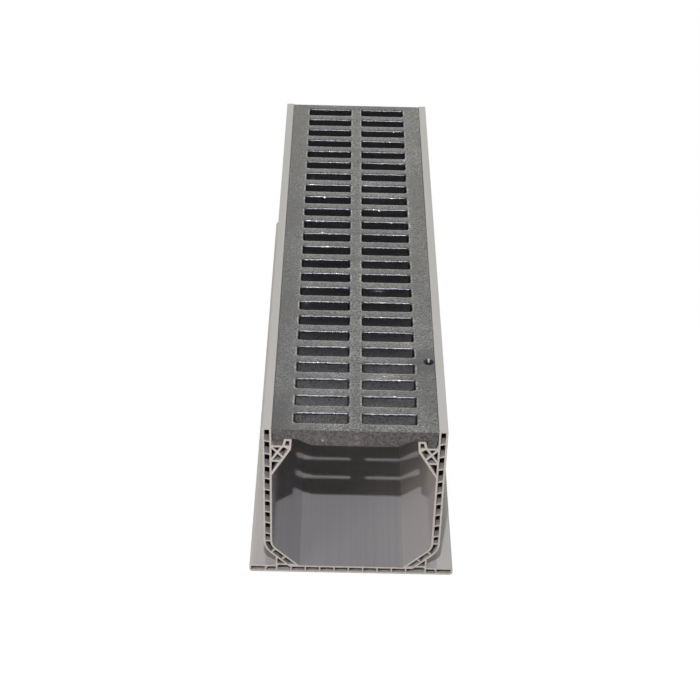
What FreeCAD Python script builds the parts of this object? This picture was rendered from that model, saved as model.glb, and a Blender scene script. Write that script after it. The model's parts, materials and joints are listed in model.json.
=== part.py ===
import FreeCAD, Part
import math
import os

import Sketcher

# A hollow-walled drain channel and the slotted grate that rests between its walls.
# X runs across the channel, Y along it and Z up, from the middle of the underside.

SIZES = {
    # Channel, overall
    "run_length": 496.0,
    "body_height": 141.5,
    "body_width": 133.4,
    "base_width": 156.0,
    # Channel walls: two skins tied by webs
    "wall_thickness": 6.5,
    "outer_skin": 1.4,
    "inner_skin": 1.5,
    "rim_cap": 1.2,
    "rim_round": 0.6,
    "web_thickness": 1.1,
    "web_rise": 1.2,
    "seat_cell_pitch": 11.85,
    "seat_cell_count": 4,
    "wall_cell_pitch": 10.9,
    "bend_radius": 11.0,
    # Channel base: a hollow plate with flanges
    "floor_width": 79.2,
    "base_thickness": 6.8,
    "base_skin": 1.5,
    "flange_round": 2.8,
    "flange_web_reach": 8.2,
    "flange_web_lean": 2.3,
    "upright_spread": 114.0,
    "upright_thickness": 1.3,
    "plinth_rise": 1.7,
    "floor_web_pitch": 11.0,
    # Grate seat on each wall: a groove, a lip and the truss that carries them
    "groove_depth": 15.7,
    "groove_width": 7.8,
    "lip_depth": 9.6,
    "lip_lean": 1.2,
    "lip_width": 5.7,
    "lip_toe": 0.7,
    "lip_drop": 19.4,
    "lip_round": 1.2,
    "seat_drop": 44.3,
    "seat_skin": 1.8,
    "truss_web": 1.6,
    "truss_foot_drop": 27.1,
    "truss_brace_drop": 30.3,
    # Grate
    "side_clearance": 0.4,
    "groove_clearance": 0.6,
    "lip_clearance": 0.4,
    "grate_recess": 0.8,
    "grate_edge_round": 0.3,
    "leg_draft": 1.2,
    "leg_round": 1.0,
    "belly_depth": 14.0,
    "belly_width": 62.4,
    "belly_shoulder_width": 84.4,
    # Slots of the grate, in two columns
    "slot_length": 39.2,
    "slot_width": 10.9,
    "slot_pitch": 20.32,
    "slot_corner": 1.6,
    "spine_width": 10.3,
    "end_bar": 8.5,
    # Countersunk screw hole in the grate's side strip
    "screw_bore": 4.0,
    "screw_head": 8.0,
    "screw_head_angle": 90.0,
    "screw_inset": 4.4,
    "screw_end": 84.5,
}

ROOT_TWO = math.sqrt(2.0)
SAME_PLACE = 1e-4


class Size:
    """A length: the number it has now, and the expression that binds it to the sheet."""

    def __init__(self, value, text):
        self.value = value
        self.text = text

    def join(self, sign, other, value):
        other_text = other.text if isinstance(other, Size) else repr(other)
        return Size(value, f"({self.text} {sign} {other_text})")

    def __add__(self, other):
        return self.join("+", other, self.value + number(other))

    def __sub__(self, other):
        return self.join("-", other, self.value - number(other))

    def __mul__(self, other):
        return self.join("*", other, self.value * number(other))

    def __truediv__(self, other):
        return self.join("/", other, self.value / number(other))

    def __neg__(self):
        return Size(-self.value, f"(-{self.text})")

    def floor(self):
        return Size(math.floor(self.value), f"floor({self.text})")


def number(length):
    """The present number of a Size, or a plain number as it is."""
    return length.value if isinstance(length, Size) else length


def hypotenuse(run, rise):
    """The length of a slope from its run and its rise."""
    return Size(
        math.hypot(run.value, rise.value),
        f"sqrt({run.text} * {run.text} + {rise.text} * {rise.text})",
    )


class Sheet:
    """The spreadsheet of driving sizes, read back as Size values by name."""

    def __init__(self, doc, sizes):
        self.cells = doc.addObject("Spreadsheet::Sheet", "Sizes")
        for row, (name, value) in enumerate(sizes.items(), start=1):
            self.cells.set(f"A{row}", name)
            self.cells.set(f"B{row}", str(value))
            self.cells.setAlias(f"B{row}", name)
        doc.recompute()

    def __getattr__(self, name):
        return Size(float(self.cells.get(name)), f"Sizes.{name}")


def origin_feature(body, role):
    """One of the body's own planes or axes."""
    return next(feature for feature in body.Origin.OriginFeatures if feature.Role == role)


def new_sketch(body, name, plane):
    """An empty sketch on one of the body's own planes."""
    sketch = body.newObject("Sketcher::SketchObject", name)
    sketch.AttachmentSupport = [(origin_feature(body, plane), "")]
    sketch.MapMode = "FlatFace"
    return sketch


def bind(feature, name, length):
    """Ties a property of a feature to the sheet."""
    feature.setExpression(name, length.text)


def hold_point(sketch, line, end, corner):
    """Ties one end of a line to a corner given as two Sizes, or as 0 on an axis."""
    axes = ((corner[0], "DistanceX", -2), (corner[1], "DistanceY", -1))
    for length, kind, axis in axes:
        if isinstance(length, Size):
            held = sketch.addConstraint(Sketcher.Constraint(kind, -1, 1, line, end, length.value))
            sketch.setExpression(f"Constraints[{held}]", length.text)
        else:
            sketch.addConstraint(Sketcher.Constraint("PointOnObject", line, end, axis))


def flat_point(corner):
    """A corner as a point of the sketch's plane."""
    return FreeCAD.Vector(number(corner[0]), number(corner[1]), 0)


def draw_loop(sketch, corners):
    """A closed straight-sided loop whose corners are tied to the sheet."""
    first = sketch.GeometryCount
    count = len(corners)
    for index, corner in enumerate(corners):
        after = corners[(index + 1) % count]
        sketch.addGeometry(Part.LineSegment(flat_point(corner), flat_point(after)))
    for index, corner in enumerate(corners):
        after = first + (index + 1) % count
        sketch.addConstraint(Sketcher.Constraint("Coincident", first + index, 2, after, 1))
        hold_point(sketch, first + index, 1, corner)


def draw_strip(sketch, start, end, thickness):
    """A strip of one thickness about a construction line from start to end."""
    near = flat_point(start)
    far = flat_point(end)
    along = (far - near).normalize()
    side = FreeCAD.Vector(-along.y, along.x, 0) * (thickness.value / 2)
    sketch.addGeometry(Part.LineSegment(near, far), True)
    hold_point(sketch, 0, 1, start)
    hold_point(sketch, 0, 2, end)
    corners = [near + side, far + side, far - side, near - side]
    for index, corner in enumerate(corners):
        sketch.addGeometry(Part.LineSegment(corner, corners[(index + 1) % 4]))
    for line in range(1, 5):
        sketch.addConstraint(Sketcher.Constraint("Coincident", line, 2, line % 4 + 1, 1))
    for cap, middle in ((4, 1), (2, 2)):
        sketch.addConstraint(Sketcher.Constraint("Symmetric", cap, 1, cap, 2, 0, middle))
        sketch.addConstraint(Sketcher.Constraint("Perpendicular", cap, 0))
        held = sketch.addConstraint(Sketcher.Constraint("Distance", cap, thickness.value))
        sketch.setExpression(f"Constraints[{held}]", thickness.text)


def extrude(body, sketch, length):
    """Pads a cross-section both ways along the channel."""
    pad = body.newObject("PartDesign::Pad", f"{sketch.Name}_pad")
    pad.Profile = sketch
    pad.SideType = "Symmetric"
    bind(pad, "Length", length)
    body.Tip = pad
    body.Document.recompute()
    return pad


def cut_along(body, sketch, length):
    """Pockets a cross-section both ways along the channel, and makes sure that it removed something."""
    before = body.Shape.Volume
    pocket = body.newObject("PartDesign::Pocket", f"{sketch.Name}_cut")
    pocket.Profile = sketch
    pocket.SideType = "Symmetric"
    bind(pocket, "Length", length)
    body.Tip = pocket
    body.Document.recompute()
    if body.Shape.Volume >= before:
        raise RuntimeError(f"{sketch.Name} cut nothing")
    return pocket


def repeat(body, feature, axis, spacing, count, backwards=False):
    """Repeats a feature along one of the body's axes."""
    pattern = body.newObject("PartDesign::LinearPattern", f"{feature.Name}_row")
    pattern.Originals = [feature]
    pattern.Direction = (origin_feature(body, axis), [""])
    pattern.Reversed = backwards
    pattern.Mode = "Spacing"
    bind(pattern, "Offset", spacing)
    bind(pattern, "Occurrences", count)
    body.Tip = pattern
    body.Document.recompute()
    return pattern


def mirror_whole(body):
    """Mirrors everything made so far to the other side of the channel."""
    mirrored = body.newObject("PartDesign::Mirrored", f"{body.Name}_halves")
    mirrored.MirrorPlane = (origin_feature(body, "YZ_Plane"), [""])
    mirrored.TransformMode = "Whole shape"
    body.Tip = mirrored
    body.Document.recompute()
    return mirrored


def round_edges(body, name, edges, radius):
    """Rounds the named edges of the body's present shape."""
    base = body.Tip
    fillet = body.newObject("PartDesign::Fillet", name)
    fillet.Base = (base, edges)
    bind(fillet, "Radius", radius)
    body.Tip = fillet
    body.Document.recompute()
    return fillet


def long_edges(body, corners):
    """Names of the edges that run along the channel through the given section corners."""
    names = []
    for index, edge in enumerate(body.Tip.Shape.Edges, start=1):
        box = edge.BoundBox
        if box.XLength > SAME_PLACE or box.ZLength > SAME_PLACE:
            continue
        for across, up in corners:
            if math.hypot(box.XMin - number(across), box.ZMin - number(up)) < SAME_PLACE:
                names.append(f"Edge{index}")
    return names


def slope_at(start, end, height):
    """Where the straight line from start to end passes a height: the place across."""
    share = (height - start[1]) / (end[1] - start[1])
    return start[0] + (end[0] - start[0]) * share


class Section:
    """Places in the channel's cross-section that both pieces share, on its right half."""

    def __init__(self, s):
        self.top = s.body_height
        self.outer = s.body_width / 2
        self.inner = self.outer - s.wall_thickness
        self.base_top = s.base_thickness
        self.groove_floor = self.top - s.groove_depth
        self.lip_top = self.top - s.lip_depth
        self.groove_side = self.inner - s.groove_width
        self.lip_outer = self.groove_side - s.lip_lean
        self.lip_inner = self.lip_outer - s.lip_width
        # The lower corner bends by 45 degrees: on its faces, across minus up stays the same.
        self.bend = self.base_top + self.inner - s.floor_width / 2
        self.inner_slope = self.inner - self.bend
        self.outer_slope = self.inner_slope + s.wall_thickness * ROOT_TWO
        self.upright = s.upright_spread / 2
        self.shelf = self.base_top + s.plinth_rise
        # The underside of the seat runs from the foot of the lip to the wall.
        self.seat_start = (self.lip_inner + s.lip_toe, self.top - s.lip_drop)
        self.seat_end = (self.inner, self.top - s.seat_drop)


def channel_outline(s, section):
    """Corners of the right half of the channel's section, with every hollow filled."""
    flange = s.base_width / 2
    upright_face = section.upright + s.upright_thickness / 2
    return [
        (0, 0),
        (flange, 0),
        (flange, section.base_top),
        (upright_face, section.base_top),
        (upright_face, upright_face - section.outer_slope),
        (section.outer, section.outer - section.outer_slope),
        (section.outer, section.top),
        (section.inner, section.top),
        (section.inner, section.groove_floor),
        (section.groove_side, section.groove_floor),
        (section.lip_outer, section.lip_top),
        (section.lip_inner, section.lip_top),
        section.seat_start,
        section.seat_end,
        (section.inner, section.bend),
        (s.floor_width / 2, section.base_top),
        (0, section.base_top),
    ]


def wall_hollow(s, section):
    """The space between the two skins, from the rim down the wall and the sloped corner."""
    near = section.inner + s.inner_skin
    far = section.outer - s.outer_skin
    near_slope = section.inner_slope + s.inner_skin * ROOT_TWO
    far_slope = section.outer_slope - s.outer_skin * ROOT_TWO
    head = section.top - s.rim_cap
    foot = section.base_top + s.web_thickness
    return [
        (near, head),
        (far, head),
        (far, far - far_slope),
        (far_slope + foot, foot),
        (near_slope + foot, foot),
        (near, near - near_slope),
    ]


def corner_hollow(s, section):
    """The three-sided space between the sloped corner, the upright and the base."""
    face = section.upright - s.upright_thickness / 2
    return [
        (face, face - section.outer_slope),
        (section.outer_slope + section.shelf, section.shelf),
        (face, section.shelf),
    ]


def base_hollow(s, section):
    """The space inside the base plate, raised beside the upright."""
    end = s.base_width / 2 - s.base_skin
    low = s.base_skin
    high = section.base_top - s.base_skin
    raised = section.shelf - s.base_skin
    raised_start = section.outer_slope + section.base_top
    return [
        (0, low),
        (end, low),
        (end, high),
        (section.upright, high),
        (section.upright - s.plinth_rise, raised),
        (raised_start, raised),
        (raised_start - s.plinth_rise, high),
        (0, high),
    ]


def seat_skin_shift(s, section):
    """How far across and how far up the seat's sloping skin reaches from its underside."""
    run = section.seat_end[0] - section.seat_start[0]
    rise = section.seat_start[1] - section.seat_end[1]
    slant = hypotenuse(run, rise)
    return s.seat_skin * slant / rise, s.seat_skin * slant / run


def truss_hollow(s, section):
    """The space under the groove, closed by the seat's sloping skin."""
    across, up = seat_skin_shift(s, section)
    ceiling = section.groove_floor - s.seat_skin
    return [
        (section.inner, ceiling),
        (section.groove_side - s.seat_skin, ceiling),
        (section.seat_start[0] + across, section.seat_start[1]),
        (section.inner, section.seat_end[1] + up),
    ]


def lip_hollow(s, section):
    """The small cell inside the lip."""
    ceiling = section.lip_top - s.seat_skin
    groove_face = slope_at(
        (section.groove_side, section.groove_floor), (section.lip_outer, section.lip_top), ceiling
    )
    near = section.lip_inner + s.seat_skin
    return [
        (near, ceiling),
        (groove_face - s.seat_skin, ceiling),
        (section.groove_side - s.seat_skin, section.groove_floor),
        (near, section.groove_floor),
    ]


def corner_webs(s, section):
    """Webs where the wall starts to bend, where the bend ends, and one pitch further down."""
    tangent = s.bend_radius * math.tan(math.pi / 8)
    level = section.bend + tangent
    near = section.inner + s.inner_skin / 2
    far = section.outer - s.outer_skin / 2
    webs = [((near, level), (far, level))]
    for pitches in (0, 1):
        down = (tangent + s.wall_cell_pitch * pitches) / ROOT_TWO
        start = s.inner_skin / 2 / ROOT_TWO
        end = (s.wall_thickness - s.outer_skin / 2) / ROOT_TWO
        foot = (section.inner - down, section.bend - down)
        webs.append(((foot[0] + start, foot[1] - start), (foot[0] + end, foot[1] - end)))
    return webs


def truss_webs(s, section):
    """Crossed webs that carry the groove's floor, and the brace below them."""
    across, _ = seat_skin_shift(s, section)
    floor_middle = section.groove_floor - s.seat_skin / 2
    wall_middle = section.inner + s.inner_skin / 2
    brace = section.top - s.truss_brace_drop
    foot = section.top - s.truss_foot_drop
    skin_at_foot = slope_at(section.seat_start, section.seat_end, foot) + across / 2
    skin_at_brace = slope_at(section.seat_start, section.seat_end, brace) + across / 2
    return [
        ((section.groove_side, floor_middle), (wall_middle, brace)),
        ((wall_middle, floor_middle), (skin_at_foot, foot)),
        ((skin_at_brace, brace), (wall_middle, brace)),
    ]


def base_webs(s, section):
    """The upright's foot in the base plate, and the leaning web of the flange."""
    low = s.base_skin / 2
    high = section.base_top - s.base_skin / 2
    middle = section.upright + s.flange_web_reach
    lean = s.flange_web_lean / 2
    return [
        ((section.upright, low), (section.upright, section.base_top), s.upright_thickness),
        ((middle - lean, high), (middle + lean, low), s.web_thickness),
    ]


def add_web(body, name, start, end, thickness, length):
    """One web between two skins, as long as the channel."""
    sketch = new_sketch(body, name, "XZ_Plane")
    draw_strip(sketch, start, end, thickness)
    return extrude(body, sketch, length)


def add_wall_webs(body, s, section):
    """Two rows of webs down the wall: one beside the grate's seat and one below it."""
    near = section.inner + s.inner_skin / 2
    far = section.outer - s.outer_skin / 2
    seat_foot = section.top - s.seat_cell_pitch * s.seat_cell_count
    bend_start = section.bend + s.bend_radius * math.tan(math.pi / 8)
    lower_count = ((seat_foot - bend_start) / s.wall_cell_pitch).floor()
    rows = (
        ("seat_web", section.top - s.seat_cell_pitch, s.seat_cell_pitch, s.seat_cell_count),
        ("wall_web", seat_foot - s.wall_cell_pitch, s.wall_cell_pitch, lower_count),
    )
    for name, first, pitch, count in rows:
        start = (near, first - s.web_rise / 2)
        end = (far, first + s.web_rise / 2)
        web = add_web(body, name, start, end, s.web_thickness, s.run_length)
        repeat(body, web, "Z_Axis", pitch, count, backwards=True)


def add_floor_webs(body, s, section):
    """Webs of the floor, stepped from beside the left upright over the flat of the floor."""
    flat_end = section.outer_slope + section.base_top - s.plinth_rise
    first = s.floor_web_pitch - section.upright
    count = ((flat_end - first) / s.floor_web_pitch).floor() + 1
    start = (first, s.base_skin / 2)
    end = (first, section.base_top - s.base_skin / 2)
    web = add_web(body, "floor_web", start, end, s.web_thickness, s.run_length)
    repeat(body, web, "X_Axis", s.floor_web_pitch, count)


def build_channel(doc, s, section):
    """The hollow-walled channel: its right half, mirrored, then the webs of its floor."""
    body = doc.addObject("PartDesign::Body", "Channel")
    body.Label = "drain_channel"
    outline = new_sketch(body, "outline", "XZ_Plane")
    draw_loop(outline, channel_outline(s, section))
    extrude(body, outline, s.run_length)

    flange = s.base_width / 2
    outer_bend = (section.outer, section.outer - section.outer_slope)
    rounds = (
        ("inner_bend", [(section.inner, section.bend)], s.bend_radius),
        ("outer_bend", [outer_bend], s.bend_radius + s.wall_thickness),
        ("flange_end", [(flange, 0), (flange, section.base_top)], s.flange_round),
        ("rim", [(section.outer, section.top), (section.inner, section.top)], s.rim_round),
        ("lip", [(section.lip_outer, section.lip_top), (section.lip_inner, section.lip_top)], s.lip_round),
    )
    for name, corners, radius in rounds:
        round_edges(body, f"{name}_round", long_edges(body, corners), radius)

    hollows = new_sketch(body, "hollows", "XZ_Plane")
    wall = wall_hollow(s, section)
    others = (corner_hollow, base_hollow, truss_hollow, lip_hollow)
    for corners in [wall] + [hollow(s, section) for hollow in others]:
        draw_loop(hollows, corners)
    cut_along(body, hollows, s.run_length)
    round_edges(body, "near_bend_round", long_edges(body, [wall[5]]), s.bend_radius + s.inner_skin)
    far_radius = s.bend_radius + s.wall_thickness - s.outer_skin
    round_edges(body, "far_bend_round", long_edges(body, [wall[2]]), far_radius)

    add_wall_webs(body, s, section)
    for index, (start, end) in enumerate(corner_webs(s, section), start=1):
        add_web(body, f"corner_web_{index}", start, end, s.web_thickness, s.run_length)
    for index, (start, end) in enumerate(truss_webs(s, section), start=1):
        add_web(body, f"truss_web_{index}", start, end, s.truss_web, s.run_length)
    for index, (start, end, thickness) in enumerate(base_webs(s, section), start=1):
        add_web(body, f"base_web_{index}", start, end, thickness, s.run_length)
    mirror_whole(body)
    add_floor_webs(body, s, section)
    return body


def grate_outline(s, section):
    """Corners of the right half of the grate's section: plate, leg and deeper middle."""
    top = section.top - s.grate_recess
    side = section.inner - s.side_clearance
    under = section.lip_top + s.lip_clearance
    groove_face = slope_at(
        (section.groove_side, section.groove_floor), (section.lip_outer, section.lip_top), under
    )
    belly = top - s.belly_depth
    return [
        (0, top),
        (side, top),
        (side - s.leg_draft, section.groove_floor),
        (section.groove_side + s.groove_clearance, section.groove_floor),
        (groove_face + s.groove_clearance, under),
        (s.belly_shoulder_width / 2, under),
        (s.belly_width / 2, belly),
        (0, belly),
    ]


def draw_rounded_box(sketch, left, right, near, far, radius):
    """A rectangle with rounded corners, tied to the sheet."""
    first = sketch.GeometryCount
    runs = [
        ((left + radius, near), (right - radius, near)),
        ((right, near + radius), (right, far - radius)),
        ((right - radius, far), (left + radius, far)),
        ((left, far - radius), (left, near + radius)),
    ]
    centres = [
        (right - radius, near + radius),
        (right - radius, far - radius),
        (left + radius, far - radius),
        (left + radius, near + radius),
    ]
    for index, (start, end) in enumerate(runs):
        sketch.addGeometry(Part.LineSegment(flat_point(start), flat_point(end)))
        hold_point(sketch, first + index, 1, start)
        hold_point(sketch, first + index, 2, end)
    for index, centre in enumerate(centres):
        circle = Part.Circle(flat_point(centre), FreeCAD.Vector(0, 0, 1), radius.value)
        begin = math.pi / 2 * (index - 1)
        arc = sketch.addGeometry(Part.ArcOfCircle(circle, begin, begin + math.pi / 2))
        after = first + (index + 1) % 4
        sketch.addConstraint(Sketcher.Constraint("Coincident", arc, 1, first + index, 2))
        sketch.addConstraint(Sketcher.Constraint("Coincident", arc, 2, after, 1))
        held = sketch.addConstraint(Sketcher.Constraint("Radius", arc, radius.value))
        sketch.setExpression(f"Constraints[{held}]", radius.text)


def sketch_on_top(body, name, top):
    """A sketch that looks down on the body from a height."""
    sketch = new_sketch(body, name, "XY_Plane")
    sketch.setExpression("AttachmentOffset.Base.z", top.text)
    return sketch


def add_slots(body, s, top):
    """Two columns of slots with rounded corners."""
    rows = ((s.run_length - s.end_bar * 2 - s.slot_width) / s.slot_pitch).floor() + 1
    near = -((rows - 1) * s.slot_pitch + s.slot_width) / 2
    far = near + s.slot_width
    inside = s.spine_width / 2
    outside = inside + s.slot_length
    slots = sketch_on_top(body, "slots", top)
    draw_rounded_box(slots, inside, outside, near, far, s.slot_corner)
    draw_rounded_box(slots, -outside, -inside, near, far, s.slot_corner)
    before = body.Shape.Volume
    pocket = body.newObject("PartDesign::Pocket", "slot_pair")
    pocket.Profile = slots
    pocket.Type = "Length"
    bind(pocket, "Length", s.groove_depth)
    body.Document.recompute()
    if body.Shape.Volume >= before:
        raise RuntimeError("the slots cut nothing")
    repeat(body, pocket, "Y_Axis", s.slot_pitch, rows)


def add_screw_hole(body, s, section, top):
    """One countersunk hole, down through the leg on the right."""
    place = sketch_on_top(body, "screw_place", top)
    across = section.inner - s.side_clearance - s.screw_inset
    along = s.screw_end - s.run_length / 2
    normal = FreeCAD.Vector(0, 0, 1)
    circle = place.addGeometry(Part.Circle(flat_point((across, along)), normal, s.screw_bore.value / 2))
    hold_point(place, circle, 3, (across, along))
    held = place.addConstraint(Sketcher.Constraint("Diameter", circle, s.screw_bore.value))
    place.setExpression(f"Constraints[{held}]", s.screw_bore.text)
    body.Document.recompute()
    before = body.Shape.Volume
    hole = body.newObject("PartDesign::Hole", "screw_hole")
    hole.Profile = place
    hole.Threaded = False
    hole.DepthType = "ThroughAll"
    hole.HoleCutType = "Countersink"
    hole.HoleCutCustomValues = True
    bind(hole, "Diameter", s.screw_bore)
    bind(hole, "HoleCutDiameter", s.screw_head)
    bind(hole, "HoleCutCountersinkAngle", s.screw_head_angle)
    body.Document.recompute()
    if body.Shape.Volume >= before:
        raise RuntimeError("the screw hole cut nothing")


def build_grate(doc, s, section):
    """The moulded grate: its right half, mirrored, then slots and screw hole."""
    body = doc.addObject("PartDesign::Body", "Grate")
    body.Label = "slotted_grate"
    corners = grate_outline(s, section)
    outline = new_sketch(body, "grate_outline", "XZ_Plane")
    draw_loop(outline, corners)
    extrude(body, outline, s.run_length)
    round_edges(body, "side_edge_round", long_edges(body, [corners[1]]), s.grate_edge_round)
    round_edges(body, "leg_foot_round", long_edges(body, [corners[2]]), s.leg_round)
    mirror_whole(body)
    top = section.top - s.grate_recess
    add_slots(body, s, top)
    add_screw_hole(body, s, section, top)
    return body


def check(doc, bodies):
    """Stops unless every object was computed and every piece is one valid solid."""
    for thing in doc.Objects:
        if "Invalid" in thing.State or "Error" in thing.State:
            raise RuntimeError(f"{thing.Name} was not computed: {thing.State}")
    for body in bodies:
        if body.Shape.isNull() or not body.Shape.isValid() or len(body.Shape.Solids) != 1:
            raise RuntimeError(f"{body.Label} is not one valid solid")


def main():
    doc = FreeCAD.newDocument("ChannelDrain")
    sheet = Sheet(doc, SIZES)
    section = Section(sheet)
    bodies = [build_channel(doc, sheet, section), build_grate(doc, sheet, section)]
    doc.recompute()
    check(doc, bodies)
    os.makedirs("parts", exist_ok=True)
    for body in bodies:
        body.Shape.exportStep(f"parts/{body.Label}.step")
        box = body.Shape.BoundBox
        print(body.Label, round(body.Shape.Volume), "mm3", box)


main()
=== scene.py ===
"""Looks of a channel drain and its slotted grate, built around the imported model, in metres."""

import json
import math

import bmesh
import bpy
from mathutils import Matrix, Vector


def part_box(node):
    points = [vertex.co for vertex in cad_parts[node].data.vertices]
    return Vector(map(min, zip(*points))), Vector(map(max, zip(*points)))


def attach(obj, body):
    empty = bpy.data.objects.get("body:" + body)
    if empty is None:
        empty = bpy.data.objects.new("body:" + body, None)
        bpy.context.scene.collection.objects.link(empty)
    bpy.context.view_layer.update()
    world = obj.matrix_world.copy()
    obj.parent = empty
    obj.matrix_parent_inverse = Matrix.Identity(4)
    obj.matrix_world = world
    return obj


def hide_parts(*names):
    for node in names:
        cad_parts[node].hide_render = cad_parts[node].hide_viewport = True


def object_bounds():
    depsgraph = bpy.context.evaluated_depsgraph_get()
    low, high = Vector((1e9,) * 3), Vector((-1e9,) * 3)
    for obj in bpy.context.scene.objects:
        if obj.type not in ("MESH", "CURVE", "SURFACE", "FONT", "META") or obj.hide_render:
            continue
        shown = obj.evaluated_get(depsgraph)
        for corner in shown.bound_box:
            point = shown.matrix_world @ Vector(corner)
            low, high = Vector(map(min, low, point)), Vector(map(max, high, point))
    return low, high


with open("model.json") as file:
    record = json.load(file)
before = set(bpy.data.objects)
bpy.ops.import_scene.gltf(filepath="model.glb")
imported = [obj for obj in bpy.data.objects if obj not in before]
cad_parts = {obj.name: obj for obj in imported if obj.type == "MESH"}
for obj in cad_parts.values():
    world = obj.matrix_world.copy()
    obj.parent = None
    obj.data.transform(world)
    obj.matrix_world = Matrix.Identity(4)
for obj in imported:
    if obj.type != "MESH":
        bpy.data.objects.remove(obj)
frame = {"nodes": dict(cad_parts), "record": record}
cad_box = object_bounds()

# Camera, from the photograph's perspective
PHOTO_SIDE_PX = 700
FOCAL_PX = 1581.5
SENSOR_MM = 36.0
CAMERA_PLACE = (-0.0165, -1.1244, 0.8589)
CAMERA_PITCH = math.radians(36.4)
CAMERA_YAW = math.radians(0.715)
CAMERA_ROLL = math.radians(1.64)

# Lamps: the key is small and near the camera, and its stripes fall through the slots into the channel
KEY_PLACE = (-0.036, -0.872, 1.04)
KEY_SIZE = (0.018, 0.018)
KEY_POWER = 7.4
KEY_COLOUR = (0.96, 0.95, 1.0)
BACK_PLACE = (0.6, 3.4, 1.95)
BACK_SIZE = (6.0, 2.6)
BACK_POWER = 150.0
BACK_COLOUR = (1.0, 0.98, 0.91)
SIDE_PLACE = (-1.3, -1.5, 0.24)
SIDE_SIZE = (0.9, 0.4)
SIDE_POWER = 18.0
SIDE_COLOUR = (1.0, 0.88, 0.79)
GLINT_PLACE = (0.0, -1.05, 2.3)
GLINT_SIZE = (0.7, 1.7)
GLINT_POWER = 145.0
GLINT_COLOUR = (0.9, 0.88, 1.0)

# Surround
WORLD_STRENGTH = 0.02
FLOOR_SIDE = 9.0
FLOOR_GAP = 0.0002
FLOOR_GLOW = 1.07
FLOOR_GLOW_SHARE = 0.9

# Shape of the dressed grate
RIM_ROUND = 0.0017
RIM_SEGMENTS = 4
RIM_PROFILE = 0.5
SLOT_DRAFT = 0.05
SIDE_SPREAD = 0.00036
SIDE_ZONE = 0.00032
SMOOTH_ANGLE = math.radians(32)
SAME_PLACE = 1e-5
MERGE_REACH = 1e-6

# Turns of the grate's faces: the upward part of a normal, and the cosine between two walls
UPRIGHT_LIMIT = 0.5
LEVEL_LIMIT = 0.9
GENTLE_TURN = 0.85

# Kinds of face in the grate's rim attribute
PLAIN_FACE = 0.0
CONE_FACE = 0.5
ROUNDED_FACE = 1.0

# Where the channel's outer skin begins: across, from below and from above
SKIN_ACROSS = (0.0655, 0.0662)
SKIN_BELOW = (0.0012, 0.002)
SKIN_ABOVE = (0.1395, 0.1408)

# Where the grate changes: round its hole, across its left strip, along that strip and along its slots
CALM_RING = (0.008, 0.022)
CALM_STRIP = (-0.054, -0.037)
CALM_CORNER = (-0.222, -0.185)
# Along the slots, saw dust and painted light make the walls paler towards the front
DUST_AND_LIGHT_REACH = (-0.23, -0.09)
SAWN_REACH = 0.001

# Relief of the surfaces, and how far flow marks sway
DRAWN_DEPTH = 0.00003
SAW_DEPTH = 0.0002
MARK_DEPTH = 0.00014
NICK_DEPTH = 0.00035
TORN_DEPTH = 0.0004
FLOW_SWAY = (0.014, 0.019, 0.013)
SOFT_EDGE = 0.0007
# How far the painted shade in nooks and cells reaches
NOOK_SHADE_REACH = 0.005

# Shine: roughness from low to high marks, and what walls and sawn ends take off or add
SPECULAR = 0.3
DRAWN_ROUGH = (0.42, 0.56)
SAW_ROUGHER = 0.25
SKIN_ROUGH = (0.5, 0.64)
WALL_SMOOTHER = 0.2
RIM_ROUGH = (0.21, 0.32)
TORN_ROUGHER = 0.35

# Sockets that Blender numbers: of a mix of colours, and of a noise
MIX_FIRST, MIX_SECOND, MIX_RESULT = 6, 7, 2
NOISE_VALUE, NOISE_COLOUR = 0, 1


def srgb(red, green, blue):
    """A colour written as it looks on screen, 0 to 255, as Blender's linear values."""

    def linear(level):
        share = level / 255
        if share <= 0.04045:
            return share / 12.92
        return ((share + 0.055) / 1.055) ** 2.4

    return (linear(red), linear(green), linear(blue), 1.0)


# Colours of the extruded plastic
CHANNEL_DARK = srgb(184, 183, 181)
CHANNEL_PALE = srgb(192, 191, 189)
CHANNEL_CLOUD = srgb(180, 178, 176)
# Painted shade: the inside of the walls and the trough takes a darker copy of the same plastic
CHANNEL_INNER_SHADED_DARK = srgb(164, 163, 164)
CHANNEL_INNER_SHADED_PALE = srgb(172, 171, 172)
# Painted shade in nooks and cells
CHANNEL_NOOK_SHADE = srgb(62, 58, 68)
CHANNEL_DUST = srgb(212, 210, 203)
CHANNEL_SAWN_DARK = srgb(184, 180, 172)
CHANNEL_SAWN_PALE = srgb(209, 205, 197)

# Colours of the moulded plastic
GRATE_SKIN = srgb(35, 36, 40)
GRATE_MARK = srgb(139, 141, 137)
GRATE_GRAIN = srgb(164, 165, 156)
# Painted shade in the slots: their walls darker than the top, their end walls darker still
GRATE_SHADED_WALL = srgb(28, 28, 31)
# Saw dust and painted light on the slots' walls near the front
GRATE_DUST_AND_LIT_WALL = srgb(118, 119, 119)
GRATE_SHADED_SIDE_WALL = srgb(16, 16, 18)
GRATE_RIM = srgb(21, 21, 24)
# Pale wear and a painted sheen along the rims' tops
GRATE_CHIP_AND_SHEEN = srgb(146, 148, 142)
# Scuffs and a painted lavender highlight along the rims' middles
GRATE_SCUFF_AND_GLINT = srgb(170, 168, 180)
GRATE_SAWN_DARK = srgb(51, 50, 51)
GRATE_SAWN_PALE = srgb(106, 104, 103)
GRATE_TORN = srgb(172, 160, 150)

# Colours of the floor and the surround
FLOOR_DARK = srgb(208, 208, 208)
FLOOR_PALE = srgb(214, 214, 214)
WHITE = (1, 1, 1, 1)


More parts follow.
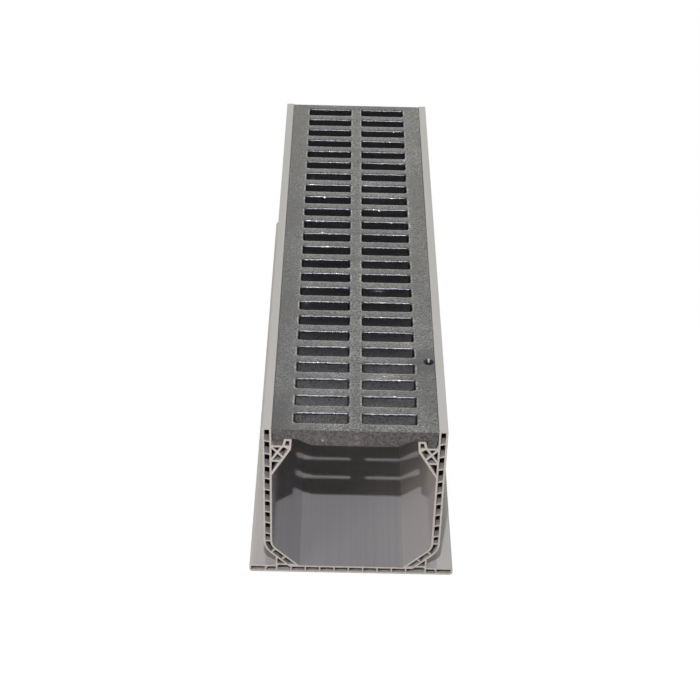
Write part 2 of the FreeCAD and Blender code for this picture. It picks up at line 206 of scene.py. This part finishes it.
class Graph:
    """A node tree wired by short calls, most of which give the new node's output."""

    def __init__(self, tree):
        self.tree = tree
        self.tree.nodes.clear()

    def put(self, socket, value):
        """Links an output to a socket, or sets the socket's own value."""
        if isinstance(value, bpy.types.NodeSocket):
            self.tree.links.new(value, socket)
        else:
            socket.default_value = value

    def add(self, kind, inputs, **settings):
        """A new node with its settings, and its inputs by name or number."""
        node = self.tree.nodes.new(kind)
        for name, value in settings.items():
            setattr(node, name, value)
        for name, value in inputs.items():
            self.put(node.inputs[name], value)
        return node

    def math(self, operation, first, second=0.0):
        """A value worked out from one or two others."""
        return self.add("ShaderNodeMath", {0: first, 1: second}, operation=operation).outputs[0]

    def times(self, *values):
        """The product of several values."""
        product = values[0]
        for value in values[1:]:
            product = self.math("MULTIPLY", product, value)
        return product

    def vector(self, operation, first, second):
        """A vector worked out from two others."""
        return self.add("ShaderNodeVectorMath", {0: first, 1: second}, operation=operation).outputs[0]

    def axes(self, vector):
        """The three parts of a vector."""
        return self.add("ShaderNodeSeparateXYZ", {0: vector}).outputs

    def place(self):
        """The point on the surface, in the part's own frame."""
        return self.add("ShaderNodeTexCoord", {}).outputs["Object"]

    def facing(self, kind):
        """The three parts of the surface's normal, of the kind Normal or True Normal."""
        return self.axes(self.add("ShaderNodeNewGeometry", {}).outputs[kind])

    def noise(self, place, per_metre, detail=3.0, roughness=0.55, output=NOISE_VALUE):
        """Cloudy noise from 0 to 1, with so many features to the metre along X, Y and Z."""
        stretched = self.vector("MULTIPLY", place, per_metre)
        inputs = {"Vector": stretched, "Scale": 1.0, "Detail": detail, "Roughness": roughness}
        return self.add("ShaderNodeTexNoise", inputs).outputs[output]

    def span(self, value, low, high, start=0.0, end=1.0):
        """Maps low to high onto start to end, held at both ends."""
        inputs = {0: value, 1: low, 2: high, 3: start, 4: end}
        return self.add("ShaderNodeMapRange", inputs, interpolation_type="SMOOTHSTEP").outputs[0]

    def mix(self, share, first, second):
        """A blend of two colours, or of two normals."""
        inputs = {0: share, MIX_FIRST: first, MIX_SECOND: second}
        return self.add("ShaderNodeMix", inputs, data_type="RGBA").outputs[MIX_RESULT]

    def bump(self, height, depth, normal=None):
        """A bumped normal, for a height from 0 to 1 that is so many metres deep."""
        inputs = {"Height": height, "Distance": depth, "Strength": 1.0}
        node = self.add("ShaderNodeBump", inputs)
        if normal is not None:
            self.put(node.inputs["Normal"], normal)
        return node.outputs[0]

    def surface(self, **inputs):
        """Ends the tree with one plastic shader."""
        named = {name.replace("_", " "): value for name, value in inputs.items()}
        shader = self.add("ShaderNodeBsdfPrincipled", named)
        self.add("ShaderNodeOutputMaterial", {"Surface": shader.outputs[0]})


def new_material(name):
    """An empty node material and its graph."""
    material = bpy.data.materials.new(name)
    material.use_nodes = True
    return material, Graph(material.node_tree)


def end_share(graph):
    """1 on faces across the channel, and 0 elsewhere."""
    along = graph.math("ABSOLUTE", graph.facing("True Normal")[1])
    return graph.span(along, 0.8, 0.95)


def inner_share(graph, place):
    """1 inside the walls and the trough, where the plastic is painted darker as shade, and 0 on the
    channel's outer skin.
    """
    across, _, up = graph.axes(place)
    within = graph.span(graph.math("ABSOLUTE", across), *SKIN_ACROSS, 1.0, 0.0)
    above = graph.span(up, *SKIN_BELOW)
    below = graph.span(up, *SKIN_ABOVE, 1.0, 0.0)
    return graph.times(within, graph.times(above, below))


def channel_skin(graph, place, drawn):
    """The extruded surface's colour: streaks, clouds, painted shade inside the trough and in nooks, and
    dust.
    """
    streaked = graph.span(drawn, 0.3, 0.7)
    clouds = graph.noise(place, (26, 9, 26))
    outer = graph.mix(streaked, CHANNEL_DARK, CHANNEL_PALE)
    outer = graph.mix(graph.span(clouds, 0.35, 0.7, 0.0, 0.35), outer, CHANNEL_CLOUD)
    # Painted shade: a darker copy of the plastic inside the walls and the trough
    inner = graph.mix(streaked, CHANNEL_INNER_SHADED_DARK, CHANNEL_INNER_SHADED_PALE)
    skin = graph.mix(inner_share(graph, place), outer, inner)
    # Painted shade in nooks and cells, from ambient occlusion
    around = graph.add("ShaderNodeAmbientOcclusion", {"Distance": NOOK_SHADE_REACH}, samples=8, only_local=True)
    skin = graph.mix(graph.span(around.outputs["AO"], 0.1, 0.6), CHANNEL_NOOK_SHADE, skin)
    dust = graph.noise(place, (900, 900, 900), detail=2)
    return graph.mix(graph.span(dust, 0.7, 0.78, 0.0, 0.35), skin, CHANNEL_DUST)


def channel_material():
    """Light grey extruded plastic: drawn streaks along the channel, and a paler sawn end."""
    material, graph = new_material("extruded_plastic")
    place = graph.place()
    streaks = graph.noise(place, (420, 2.5, 420), detail=4)
    hairlines = graph.noise(place, (2100, 5, 2100), detail=2)
    drawn = graph.math("ADD", graph.times(streaks, 0.65), graph.times(hairlines, 0.35))
    saw = graph.noise(place, (1300, 1300, 700), detail=4, roughness=0.7)
    sawn = graph.mix(graph.span(saw, 0.3, 0.72), CHANNEL_SAWN_DARK, CHANNEL_SAWN_PALE)
    end = end_share(graph)
    colour = graph.mix(end, channel_skin(graph, place, drawn), sawn)
    rough = graph.span(drawn, 0.3, 0.7, *DRAWN_ROUGH)
    rough = graph.math("ADD", rough, graph.times(end, SAW_ROUGHER))
    soft_edges = graph.add("ShaderNodeBevel", {"Radius": SOFT_EDGE}, samples=6).outputs[0]
    drawn_normal = graph.bump(drawn, DRAWN_DEPTH, soft_edges)
    normal = graph.bump(graph.times(saw, end), SAW_DEPTH, drawn_normal)
    graph.surface(Base_Color=colour, Roughness=rough, Specular_IOR_Level=SPECULAR, Normal=normal)
    return material


def calm_share(graph, place, hole):
    """How much the flow marks show: less in patches, round the screw hole and on the left strip."""
    clouds = graph.noise(place, (30, 17, 30))
    patches = graph.span(clouds, 0.36, 0.58, 0.5, 1.0)
    away = graph.add("ShaderNodeVectorMath", {0: place, 1: hole}, operation="DISTANCE").outputs["Value"]
    ring = graph.span(away, *CALM_RING, 0.2, 1.0)
    across, along, _ = graph.axes(place)
    corner = graph.span(along, *CALM_CORNER, 0.12, 0.5)
    strip = graph.span(across, *CALM_STRIP, corner, 1.0)
    return graph.times(patches, ring, strip)


def chip_and_sheen_share(graph):
    """1 along the upper line of rounded rims, but for those that lean towards the front: where pale wear
    and a painted sheen go.
    """
    _, along, up = graph.facing("Normal")
    return graph.times(graph.span(up, 0.7, 0.92), graph.span(along, -0.3, -0.1))


def scuff_and_glint_share(graph):
    """1 along the middle line of rounded rims, where scuffs and a painted highlight go."""
    up = graph.facing("Normal")[2]
    return graph.times(graph.span(up, 0.3, 0.45), graph.span(up, 0.74, 0.84, 1.0, 0.0))


def wall_share(graph):
    """1 on upright faces and 0 on level ones."""
    level = graph.math("ABSOLUTE", graph.facing("True Normal")[2])
    return graph.span(level, 0.1, 0.4, 1.0, 0.0)


def front_share(graph, place):
    """1 in the last millimetre at either end of the channel, and 0 between."""
    along = graph.math("ABSOLUTE", graph.axes(place)[1])
    return graph.math("GREATER_THAN", along, cad_box[1].y - SAWN_REACH)


def grate_skin(graph, place, marks, marked, calm):
    """The moulded surface's colour: flow marks and pale grains on top, painted shade on the slots' walls,
    and saw dust with painted light on them towards the front.
    """
    skin = graph.mix(marked, GRATE_SKIN, GRATE_MARK)
    grains = graph.noise(place, (950, 950, 950), detail=2)
    grain = graph.times(graph.span(grains, 0.64, 0.71, 0.0, 0.7), graph.math("ADD", calm, 0.6))
    skin = graph.mix(grain, skin, GRATE_GRAIN)
    # Saw dust and painted light make the slots' walls paler towards the front
    fading = graph.span(graph.axes(place)[1], *DUST_AND_LIGHT_REACH, 1.0, 0.2)
    dust_and_light = graph.times(graph.span(marks, 0.3, 0.62), fading)
    # Painted shade: the slots' walls are darker than the top, and their end walls darker still
    wall = graph.mix(dust_and_light, GRATE_SHADED_WALL, GRATE_DUST_AND_LIT_WALL)
    wall = graph.mix(end_share(graph), GRATE_SHADED_SIDE_WALL, wall)
    return graph.mix(wall_share(graph), skin, wall)


def rims_with_wear_and_glints(graph, skin, shine, rounded_share, nicks):
    """The surface's colour with dark rims, pale wear and a painted sheen along their tops, and scuffs
    with a painted lavender highlight along their middles.
    """
    skin = graph.mix(shine, skin, GRATE_RIM)
    # Pale wear and a painted sheen along the rims' tops
    chips_and_sheen = graph.times(graph.span(nicks, 0.38, 0.6, 0.3, 1.0), chip_and_sheen_share(graph))
    skin = graph.mix(graph.times(rounded_share, chips_and_sheen), skin, GRATE_CHIP_AND_SHEEN)
    # Scuffs and a painted highlight along the rims' middles
    scuffs_and_glints = graph.times(graph.span(nicks, 0.48, 0.62, 0.0, 0.6), scuff_and_glint_share(graph))
    return graph.mix(graph.times(rounded_share, scuffs_and_glints), skin, GRATE_SCUFF_AND_GLINT)


def grate_material(hole):
    """Charcoal moulded plastic: wavy flow marks, pale grains, shiny rims and a rough sawn end."""
    material, graph = new_material("moulded_plastic")
    place = graph.place()
    sway = graph.noise(place, (55, 40, 55), detail=2, output=NOISE_COLOUR)
    flow = graph.vector("ADD", place, graph.vector("MULTIPLY", sway, FLOW_SWAY))
    marks = graph.noise(flow, (700, 1300, 1000), detail=4, roughness=0.64)
    nicks = graph.noise(place, (460, 460, 460), detail=1, roughness=0.5)
    torn = graph.noise(place, (760, 760, 760), detail=4, roughness=0.75)
    calm = calm_share(graph, place, hole)
    marked = graph.times(graph.span(marks, 0.44, 0.58), calm)
    rim = graph.add("ShaderNodeAttribute", {}, attribute_name="rim").outputs["Fac"]
    shine = graph.span(rim, PLAIN_FACE, CONE_FACE)
    rounded_share = graph.span(rim, CONE_FACE, ROUNDED_FACE)
    end = graph.times(end_share(graph), front_share(graph, place))
    skin = grate_skin(graph, place, marks, marked, calm)
    skin = rims_with_wear_and_glints(graph, skin, shine, rounded_share, nicks)
    sawn = graph.mix(graph.span(torn, 0.38, 0.64), GRATE_SAWN_DARK, GRATE_SAWN_PALE)
    sawn = graph.mix(graph.span(torn, 0.66, 0.72), sawn, GRATE_TORN)
    colour = graph.mix(end, skin, sawn)
    rough = graph.span(marked, 0.0, 1.0, *SKIN_ROUGH)
    rough = graph.math("SUBTRACT", rough, graph.times(wall_share(graph), WALL_SMOOTHER))
    shiny = graph.span(marks, 0.35, 0.6, *RIM_ROUGH)
    rough = graph.math("ADD", rough, graph.times(shine, graph.math("SUBTRACT", shiny, rough)))
    rough = graph.math("ADD", rough, graph.times(end, TORN_ROUGHER))
    top_normal = graph.mix(rounded_share, graph.bump(marks, MARK_DEPTH), graph.bump(nicks, NICK_DEPTH))
    normal = graph.bump(graph.times(torn, end), TORN_DEPTH, top_normal)
    graph.surface(Base_Color=colour, Roughness=rough, Specular_IOR_Level=SPECULAR, Normal=normal)
    return material


def is_upright(face):
    """Whether a face stands rather than lies."""
    return abs(face.normal.z) < UPRIGHT_LIMIT


def is_outside(corner, high):
    """Whether a corner lies on the grate's outer sides or ends."""
    return high.x - abs(corner.co.x) < SAME_PLACE or high.y - abs(corner.co.y) < SAME_PLACE


def top_edges(mesh, high):
    """The edges at which a grate's top face falls away into its slots."""
    edges = []
    for edge in mesh.edges:
        level = all(abs(corner.co.z - high.z) < SAME_PLACE for corner in edge.verts)
        outer = any(is_outside(corner, high) for corner in edge.verts)
        falling = [face for face in edge.link_faces if is_upright(face)]
        if level and not outer and len(falling) == 1:
            edges.append(edge)
    return edges


def slot_walls(edges):
    """The upright faces inside the slots, found from the top edges round gentle corners."""
    walls = {face for edge in edges for face in edge.link_faces if is_upright(face)}
    fresh = list(walls)
    while fresh:
        face = fresh.pop()
        for other in [other for edge in face.edges for other in edge.link_faces]:
            if other not in walls and other.normal.dot(face.normal) > GENTLE_TURN:
                walls.add(other)
                fresh.append(other)
    return walls


def draft_slots(edges, top):
    """Leans the slots' walls outwards towards the bottom, as a mould's draft does."""
    walls = slot_walls(edges)
    for corner in {corner for face in walls for corner in face.verts}:
        inward = sum((face.normal for face in corner.link_faces if face in walls), Vector())
        corner.co -= inward.normalized() * SLOT_DRAFT * (top - corner.co.z)


def spread_sides(mesh, high):
    """Moves the grate's sides out, so that no gap shows beside the channel's rims."""
    for corner in mesh.verts:
        if high.x - abs(corner.co.x) < SIDE_ZONE:
            corner.co.x += math.copysign(SIDE_SPREAD, corner.co.x)


def round_rims(mesh, edges):
    """Rounds the slots' rims, and marks them and the countersink's cone for the material."""
    rim = mesh.faces.layers.float["rim"]
    for face in mesh.faces:
        face[rim] = CONE_FACE if UPRIGHT_LIMIT < face.normal.z < LEVEL_LIMIT else PLAIN_FACE
    rounded = bmesh.ops.bevel(
        mesh,
        geom=edges,
        offset=RIM_ROUND,
        offset_type="OFFSET",
        segments=RIM_SEGMENTS,
        profile=RIM_PROFILE,
        affect="EDGES",
        clamp_overlap=False,
    )
    for face in rounded["faces"]:
        face[rim] = ROUNDED_FACE


def dress_grate(node):
    """A copy of the grate with leaning slot walls, rounded rims and a closer fit at its sides."""
    mesh = bmesh.new()
    mesh.from_mesh(node.data)
    bmesh.ops.remove_doubles(mesh, verts=mesh.verts, dist=MERGE_REACH)
    mesh.normal_update()
    mesh.faces.layers.float.new("rim")
    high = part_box(node.name)[1]
    edges = top_edges(mesh, high)
    draft_slots(edges, high.z)
    spread_sides(mesh, high)
    mesh.normal_update()
    round_rims(mesh, edges)
    data = bpy.data.meshes.new("grate_rounded")
    mesh.to_mesh(data)
    mesh.free()
    if "custom_normal" in data.attributes:
        data.attributes.remove(data.attributes["custom_normal"])
    data.polygons.foreach_set("use_smooth", [True] * len(data.polygons))
    data.set_sharp_from_angle(angle=SMOOTH_ANGLE)
    piece = bpy.data.objects.new("grate_rounded", data)
    bpy.context.scene.collection.objects.link(piece)
    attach(piece, "root")
    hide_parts(node.name)
    return piece


def paint(piece, material):
    """Gives a piece one material."""
    piece.data.materials.clear()
    piece.data.materials.append(material)


def white_share(graph):
    """1 for rays that see the background itself, and 0 for light that falls on the object."""
    rays = graph.add("ShaderNodeLightPath", {}).outputs
    seen = graph.math("ADD", rays["Is Camera Ray"], rays["Is Glossy Ray"])
    return graph.math("MINIMUM", graph.math("ADD", seen, rays["Is Transmission Ray"]), 1.0)


def floor_material():
    """A white floor that shows the object's shadow faintly, and isn't sampled as a lamp."""
    material, graph = new_material("studio_floor")
    material.cycles.emission_sampling = "NONE"
    grain = graph.noise(graph.place(), (40, 40, 40))
    paper = graph.mix(grain, FLOOR_DARK, FLOOR_PALE)
    matt = graph.add("ShaderNodeBsdfDiffuse", {"Color": paper})
    glow = graph.add("ShaderNodeEmission", {"Strength": FLOOR_GLOW})
    share = graph.times(white_share(graph), FLOOR_GLOW_SHARE)
    blend = graph.add("ShaderNodeMixShader", {0: share, 1: matt.outputs[0], 2: glow.outputs[0]})
    graph.add("ShaderNodeOutputMaterial", {"Surface": blend.outputs[0]})
    return material


def add_floor():
    """A plain floor under the part."""
    half = FLOOR_SIDE / 2
    corners = [(-half, -half, 0), (half, -half, 0), (half, half, 0), (-half, half, 0)]
    data = bpy.data.meshes.new("floor")
    data.from_pydata(corners, [], [(0, 1, 2, 3)])
    floor = bpy.data.objects.new("floor", data)
    floor.location.z = cad_box[0].z - FLOOR_GAP
    bpy.context.scene.collection.objects.link(floor)
    paint(floor, floor_material())


def add_softbox(name, place, size, power, colour):
    """A flat lamp that looks at the middle of the part."""
    data = bpy.data.lights.new(name, "AREA")
    data.shape = "RECTANGLE"
    data.size, data.size_y = size
    data.energy = power
    data.color = colour
    lamp = bpy.data.objects.new(name, data)
    lamp.location = place
    aim = (cad_box[0] + cad_box[1]) / 2 - Vector(place)
    lamp.rotation_euler = aim.to_track_quat("-Z", "Y").to_euler()
    bpy.context.scene.collection.objects.link(lamp)
    return lamp


def add_glint_panel(grate):
    """A panel that shows only in the grate's shine, and lights nothing else."""
    glint = add_softbox("glint_panel", GLINT_PLACE, GLINT_SIZE, GLINT_POWER, GLINT_COLOUR)
    glint.visible_diffuse = False
    glint.data.cycles.max_bounces = 0
    lit = bpy.data.collections.new("lit_by_glint_panel")
    lit.objects.link(grate)
    glint.light_linking.receiver_collection = lit


def add_world():
    """An even white surround, too faint as a light to be sampled as a lamp."""
    world = bpy.data.worlds.new("studio")
    world.use_nodes = True
    world.cycles.sampling_method = "NONE"
    graph = Graph(world.node_tree)
    strength = graph.span(white_share(graph), 0.0, 1.0, WORLD_STRENGTH, 1.0)
    glow = graph.add("ShaderNodeBackground", {"Color": WHITE, "Strength": strength})
    graph.add("ShaderNodeOutputWorld", {"Surface": glow.outputs[0]})
    bpy.context.scene.world = world


def light_scene(grate):
    """A small key lamp, two soft boxes, a panel for the grate's glints and a white surround."""
    add_softbox("key", KEY_PLACE, KEY_SIZE, KEY_POWER, KEY_COLOUR)
    add_softbox("back_softbox", BACK_PLACE, BACK_SIZE, BACK_POWER, BACK_COLOUR)
    add_softbox("side_softbox", SIDE_PLACE, SIDE_SIZE, SIDE_POWER, SIDE_COLOUR)
    add_glint_panel(grate)
    add_world()


def add_camera():
    """A camera where the photograph was taken from."""
    ahead = Vector((
        math.sin(CAMERA_YAW) * math.cos(CAMERA_PITCH),
        math.cos(CAMERA_YAW) * math.cos(CAMERA_PITCH),
        -math.sin(CAMERA_PITCH),
    ))
    level = Vector((math.cos(CAMERA_YAW), -math.sin(CAMERA_YAW), 0))
    above = level.cross(ahead)
    right = level * math.cos(CAMERA_ROLL) + above * math.sin(CAMERA_ROLL)
    up = above * math.cos(CAMERA_ROLL) - level * math.sin(CAMERA_ROLL)
    data = bpy.data.cameras.new("camera")
    data.sensor_width = SENSOR_MM
    data.lens = FOCAL_PX / PHOTO_SIDE_PX * SENSOR_MM
    camera = bpy.data.objects.new("camera", data)
    turn = Matrix((right, up, -ahead)).transposed().to_4x4()
    camera.matrix_world = Matrix.Translation(CAMERA_PLACE) @ turn
    bpy.context.scene.collection.objects.link(camera)
    bpy.context.scene.camera = camera


def screw_hole_place():
    """Where the screw hole opens in the grate's top face."""
    for mount in frame["record"]["mounts"]:
        if mount["name"] == "screw_hole":
            across, along, _ = mount["pos_m"]
            return (across, along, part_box("slotted_grate")[1].z)
    raise ValueError("the record has no screw hole")


bpy.context.scene.view_settings.view_transform = "Standard"
paint(frame["nodes"]["drain_channel"], channel_material())
grate = dress_grate(frame["nodes"]["slotted_grate"])
paint(grate, grate_material(screw_hole_place()))
add_floor()
light_scene(grate)
add_camera()
